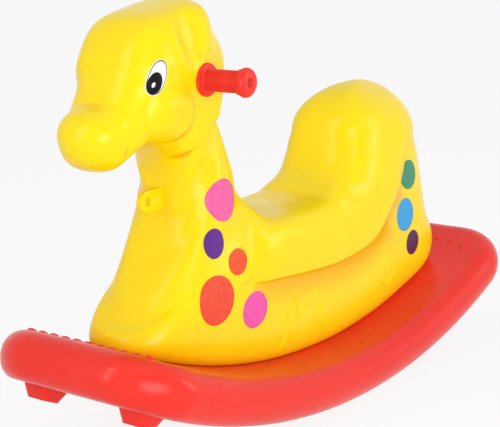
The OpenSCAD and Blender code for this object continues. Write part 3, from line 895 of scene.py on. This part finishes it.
# %% End caps
cap_low, cap_high = node_box("cap_left")
cap_r = (cap_high[0] - cap_low[0]) / 2
cap_end = -cap_low[1]
start = grip_end + clearance
dome_start = start + 8.6
ring_outline = [(0, -3.4), (0.5, -2.6), (1.3, -2.1), (2.6, -2.1), (3.4, -2.8), (3.9, -3.4), (4.6, -3.2),
                (5.2, -1.6), (6.0, -0.6), (7.2, -0.1), (8.4, 0)]
knob = [[start, 7.9]] + shifted(start, cap_r, ring_outline)
knob += [[dome_start + (cap_end - dome_start) * s, 6.2 + (cap_r - 6.2) * c ** 0.55]
         for c, s in turns(range(6, 91, 6))]
knob += shifted(cap_end, 0, [(-0.1, 5.6), (-0.6, 5.0), (-2.6, 4.6), (-2.6, 2.1)])
for side, word in SIDES:
    cap = turned("knob_" + word, knob, side, grip_red, smooth_angle=60)
    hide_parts("cap_" + word)
print("caps end %.1f mm out, radius %.1f" % (cap_end, cap_r))

# %% [markdown]
# ## The tow eye
#
# A cord can be tied to the eye on the chest, a thick tab moulded with the body. It is
# round in front, and its rear is drawn out straight until it ends inside the chest.
# Rings of points run from the hole's edge, over the soft rim, and back.

# %% Tow eye
eye_x, eye_z, eye_hole, eye_r, eye_half, eye_web = handle_x - 39, handle_z - 147, 4.5, 14.0, 4.5, 31.0

soft = 2.2
outline = [[eye_hole, -eye_half + 0.8], [eye_hole + 0.8, -eye_half]]
outline += [[eye_r - soft + soft * s, -eye_half + soft - soft * c] for c, s in turns(range(0, 91, 15))]
outline += [[r, -y] for r, y in outline[::-1]]
rows = []
for c, s in turns(range(0, 360, 5)):
    root = eye_web * min(1, max(0, c) * 5)
    rows.append([[eye_x + r * c + (root if r > eye_hole + 1 else 0), y, eye_z + r * s] for r, y in outline])
eye_tab = make_piece("tow_eye", *stack(rows, loop=True), body_yellow, 50)
print("tow eye:", len(eye_tab.data.polygons), "faces")

# %% [markdown]
# ## Stickers
#
# A sticker is thin vinyl that follows the skin under it. Points spread over an oval,
# held flat against the skin at the sticker's middle, are each sent in until they meet
# the skin, then lifted by the film's thickness. The rim dips back to the skin, so
# that the edge catches a little light.

# %% Stickers on the sides
film, sunk, start_height = 0.5, 0.6, 40.0


def sticker(name, centre, width, height, lean, side, finish, rings=10, around=60):
    """A leaning oval of film on the body's side, with its own UV map from 0 to 1."""
    middle, out = on_side(*centre, side)
    level = np.array([1.0, 0, 0]) - out * out[0]
    level /= np.linalg.norm(level)
    upright = np.cross(level, out) * side
    lean = math.radians(lean)
    wide = level * math.cos(lean) - upright * math.sin(lean)
    tall = level * math.sin(lean) + upright * math.cos(lean)
    shares = np.concatenate([np.linspace(0, 1, rings + 1)[1:], [1.012]])
    lifts = [film] * rings + [0.05]
    places = [(0.0, 0.0, film)] + [(k * c, k * s, h) for k, h in zip(shares, lifts)
                                   for c, s in turns(range(0, 360, 360 // around))]
    top, under, uv = [], [], []
    for s, t, h in places:
        start = middle + wide * s * width / 2 + tall * t * height / 2 + out * start_height
        place, normal = skin_from(start, -out)
        top.append(place + normal * h)
        under.append(place - normal * sunk)
        uv.append((0.5 + 0.5 * s, 0.5 + 0.5 * t))
    faces = [(0, i, j) for i, j in neighbours(around, 1)]
    faces += [tuple(i + 1 for i in f) for f in ring_faces(rings + 1, around)]
    n = len(top)
    back = [tuple(i + n for i in f[::-1]) for f in faces]
    rim = [(i, j, j + n, i + n) for i, j in neighbours(around, 1 + rings * around)]
    piece = make_piece(name, np.array(top + under), faces + back + rim, finish)
    layer = piece.data.uv_layers.new(name="film")
    for loop in piece.data.loops:
        layer.data[loop.index].uv = uv[loop.vertex_index % n]
    return piece


spots = {"rose": (-210, 299, 59, 52), "violet": (-234, 249, 35, 37), "orange": (-195, 220, 36, 33),
         "red": (-239, 180, 64, 61), "magenta": (-163, 152, 51, 47), "green": (228, 271, 49, 43),
         "blue": (215, 213, 49, 49), "plum": (238, 167, 37, 37)}
for side, word in SIDES:
    for name, (x, z, width, height) in spots.items():
        piece = sticker("sticker_" + name + "_" + word, (x, z), width, height, 0, side, spot_vinyl[name])
        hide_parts("spot_" + name + "_" + word)
print("spots:", 2 * len(spots))

# %% [markdown]
# The eye is one printed sticker: a white oval with a thin dark outline, a dark pupil
# low and forward in it, and a glint. The picture is drawn by the material, from the
# sticker's own UV map: each shape is the distance from an oval, turned into a mask.

# %% Eye stickers
eye_vinyl, shader, places = start_material("vinyl eye")
uv = places.box("ShaderNodeUVMap", uv_map="film")
s, t = (uv.box("ShaderNodeSeparateXYZ", [uv], part) for part in (0, 1))


def oval(cx, cy, rx, ry):
    """0 at the oval's centre, 1 on its edge."""
    return (((s - cx) / rx) ** 2 + ((t - cy) / ry) ** 2) ** 0.5


rim = oval(0.5, 0.5, 0.455, 0.47)
pupil = oval(0.47, 0.335, 0.37, 0.30)
glint = oval(0.42, 0.27, 0.085, 0.075)
line = rim.step(0.94, 0.97) * (1 - rim.step(1.01, 1.04))
dark = line.high((1 - pupil.step(0.97, 1.02)) * (1 - rim.step(0.97, 1.0))) * glint.step(0.9, 1.05)
shade = places.noise(200, 2).step(0.3, 0.7).mix((0.86, 0.86, 0.90, 1), (0.90, 0.90, 0.94, 1))
wire(shader, "Base Color", dark.mix(shade, (0.006, 0.004, 0.004, 1)))
vinyl_surface(shader, places, 0.35, 0.12)
eye_centre = (handle_x - 84, handle_z + 9)
for side, word in SIDES:
    # the oval's lower end leans forward, and UV 0 is its front on both sides
    piece = sticker("eye_print_" + word, eye_centre, 26, 43, 27, side, eye_vinyl, 14, 72)
    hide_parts("eye_" + word)
print("eyes at %.1f %.1f" % eye_centre)

# %% [markdown]
# ## The rocker board
#
# The board is one thick hollow slab, bent round the rocking axis, with soft edges and
# big round corners. Its outline is offset inwards layer by layer, and each layer is
# then bent: a place along the board becomes an angle.

# %% Board
board_low, board_high = node_box("rocker_board")
rocker_length = board_high[0] - board_low[0]
rocker_width = board_high[1] - board_low[1]
corner_radius, edge_radius, edge_draw_in = 81.0, 28.0, 24.0
widest = board_thickness - edge_radius
bend = math.pi / 180 * (rocking_radius - widest)


def edge_angle(degrees):
    """The angle along the board at which its end, leaning by this much, reaches its full length."""
    a = math.radians(degrees)
    reach = math.hypot(edge_draw_in * math.cos(a), widest * math.sin(a))
    return math.degrees(math.asin((rocker_length / 2 - reach) / (rocking_radius - widest)))


end_angle = edge_angle(edge_angle(25)) + edge_draw_in / bend


def board_outline(inset):
    """One side of the outline, [along, across], from end to end."""
    r, across = corner_radius - inset, rocker_width / 2 - corner_radius
    along = end_angle * bend - corner_radius
    first = np.array([[-along - r * c, across + r * s] for c, s in turns(np.linspace(0, 90, 25))])
    middle = [[along * share, across + r] for share in np.linspace(-1, 1, 151)[1:-1]]
    return np.vstack([first, middle, first[::-1] * [-1, 1]])


def bent(p, side, height):
    """Flat places [along, across] at a height in the slab, bent round the rocking axis."""
    a = np.radians(p[:, 0] / bend)
    r = rocking_radius - height
    return np.stack([r * np.sin(a), side * p[:, 1], rocking_radius - r * np.cos(a)], -1)


lower = [(edge_draw_in * (1 - c), widest * (1 - s)) for c, s in turns(np.linspace(90, 0, 13))]
upper = [(edge_radius * (1 - c), board_thickness - edge_radius * (1 - s))
         for c, s in turns(np.linspace(0, 90, 13)[1:])]
loops = []
for inset, height in lower + upper:
    outline = board_outline(inset)
    loops.append(np.vstack([bent(outline, 1, height), bent(outline[::-1], -1, height)]))
slab, count, top = np.vstack(loops), len(loops[0]), (len(loops) - 1) * len(loops[0])
slab_faces = ring_faces(len(loops), count)
for j in range(count // 2 - 1):
    i = count - 1 - j
    slab_faces += [(i, i - 1, j + 1, j), (top + j, top + j + 1, top + i - 1, top + i)]
board = make_piece("board_moulding", slab, slab_faces, board_red, 50)
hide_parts("rocker_board")
print("board:", len(board.data.polygons), "faces, low", slab.min(0).round(1), "high", slab.max(0).round(1))

# %% [markdown]
# Four wells go up into the board from below, for the screws that hold the body. They
# are cut with a Boolean modifier, whose result is kept and the modifier dropped.

# %% Screw wells
washer_high = node_box("body_washers")[1]
washer_r, well_r, overshoot = 9, 12.0, 20
screw_x, screw_y = washer_high[0] - washer_r, washer_high[1] - washer_r

cones, top = bmesh.new(), washer_high[2]
for x in (-screw_x, screw_x):
    for y in (-screw_y, screw_y):
        place = Matrix.Translation((x * MM, y * MM, (top - overshoot) / 2 * MM))
        bmesh.ops.create_cone(cones, cap_ends=True, segments=48, radius1=well_r * MM, radius2=well_r * MM,
                              depth=(top + overshoot) * MM, matrix=place)
cutter = show("wells", bpy.data.meshes.new("wells"))
cones.to_mesh(cutter.data)
cones.free()
modifier = board.modifiers.new("wells", "BOOLEAN")
modifier.operation, modifier.object, modifier.solver = "DIFFERENCE", cutter, "EXACT"
mesh = applied(board)
board.modifiers.clear()
board.data = mesh
bpy.data.objects.remove(cutter)
finish_piece(board, board_red, 50)
print("board with wells:", len(board.data.polygons), "faces")

# %% [markdown]
# Rows of low studs cross both ends of the deck as foot grips. One tree makes a row:
# a line of points, bent onto the deck, with a flattened dome on each that stands
# square to the deck.

# %% Stud tree
stud_sizes = {"Count": 11, "Pitch": 0.0185, "Row place": -0.392, "Row bow": 0.0, "Radius": 0.006,
              "Height": 0.003, "Deck radius": 0.907, "Axis height": 0.968}

studs, start, size = start_tree("studs", stud_sizes)
line = start.box("GeometryNodeMeshLine", {
    "Count": size["Count"], "Offset": start.vector(0.0, size["Pitch"], 0.0),
    "Start Location": start.vector(0.0, (1 - size["Count"]) * size["Pitch"] * 0.5, 0.0)})
place = start.box("GeometryNodeInputPosition")
y = place.box("ShaderNodeSeparateXYZ", [place], 1)
x = size["Row place"] - y * y * size["Row bow"]
z = size["Axis height"] - (size["Deck radius"] ** 2 - x ** 2) ** 0.5
bent_line = start.box("GeometryNodeSetPosition", {"Geometry": line, "Position": start.vector(x, y, z)})
sphere = start.box("GeometryNodeMeshUVSphere", {"Segments": 28, "Rings": 14, "Radius": 1.0})
flattened = start.vector(size["Radius"], size["Radius"], size["Height"])
dome = start.box("GeometryNodeTransform", {"Geometry": sphere, "Scale": flattened})
slope = x / size["Deck radius"]
tilt = start.vector(0.0, -slope.maths("ARCSINE", slope), 0.0)
end_tree(studs, {"Points": bent_line, "Instance": dome, "Rotation": tilt}, board_red)

bow_radius = 0.237
rump_sizes = {"Count": 8, "Pitch": 0.025, "Row place": 0.384, "Row bow": 1 / (2 * bow_radius)}
for name, sizes in (("toe_studs", stud_sizes), ("rump_studs", {**stud_sizes, **rump_sizes})):
    row = grow(name, studs, sizes, board_red)
    print(row.name, sizes["Count"], "studs,", len(row.data.polygons), "faces")

# %% [markdown]
# Two stop lugs under each end keep the horse from tipping. Each tapers downwards
# with round corners: rounded squares, stacked and bridged.

# %% Stop lugs
lug_reach, lug_spacing, lug_depth, lug_width = 388.0, 152.0, 16.0, 44.0


def lug(end, side):
    """One lug. A level is its length, how much narrower it is, its corners' radius, its height."""
    turn = math.asin(lug_reach / rocking_radius) * end
    levels = [(46, 0, 10, 9), (45, 1, 10, 0), (38, 5, 9.5, -7), (32, 10, 9, -13), (30.5, 11, 8.5, -15),
              (28, 13.5, 7.5, -lug_depth), (20, 22, 5, -lug_depth)]
    rows = []
    for length, narrower, r, z in levels:
        row, drop = [], rocking_radius - z
        for cx, cy, first in ((1, 1, 0), (-1, 1, 90), (-1, -1, 180), (1, -1, 270)):
            for c, s in turns(np.linspace(first, first + 90, 8)):
                x, y = cx * (length / 2 - r) + r * c, cy * ((lug_width - narrower) / 2 - r) + r * s
                row.append([math.cos(turn) * x + math.sin(turn) * drop, side * lug_spacing / 2 + y,
                            rocking_radius + math.sin(turn) * x - math.cos(turn) * drop])
        rows.append(row)
    return stack(rows)


lugs = beads("stop_lugs", [lug(end, side) for end in (-1, 1) for side in (-1, 1)], board_red)
print("stop lugs:", len(lugs.data.polygons), "faces")

# %% [markdown]
# Footprints in low relief on each side of the deck show a child where to stand: the
# outline of a sole, and three toes in front of it.

# %% Footprints
def footprint(side):
    sole = [[180, 84], [183, 98], [198, 107], [220, 103], [244, 104], [262, 96], [269, 80], [260, 66],
            [238, 64], [214, 68], [190, 70], [180, 84]]
    path = smooth_path([[x, side * y] for x, y in sole], 5)[:-1]
    strips = [bead(path, 3.2, 0.9, on_deck, 1, closed=True)]
    for x, y, r in ((279, 68, 5.5), (281, 83, 6), (278, 98, 6)):
        strips.append(bead(circle(x, side * y, r, 15), 2.6, 0.8, on_deck, 1, closed=True))
    return strips


prints = beads("footprint_relief", footprint(-1) + footprint(1), board_red)
print("footprints:", len(prints.data.polygons), "faces")

# %% [markdown]
# ## Steel parts
#
# The tube, the cap screws and the screws and washers under the board keep their
# measured shape and only take a finish: zinc plate, and on the cap screws, which
# show, a red lacquer over it that wears thin.

# %% Steel finish on the carried-over parts
red_lacquer, shader, places = start_material("red lacquer on steel")
thin = places.noise(300, 3).step(0.45, 0.75)
wire(shader, "Base Color", thin.mix((0.62, 0.02, 0.014, 1), (0.40, 0.02, 0.016, 1)))
wire(shader, "Roughness", 0.35 + thin * 0.15)
wire(shader, "Specular IOR Level", 0.25)
steel_nodes = ("handle_tube", "cap_screw_left", "cap_screw_right", "body_screws", "body_washers")
for node in steel_nodes:
    part = frame["nodes"][node]
    part.data.materials.clear()
    part.data.materials.append(red_lacquer if node.startswith("cap_screw") else steel)
print("steel parts:", len(steel_nodes))
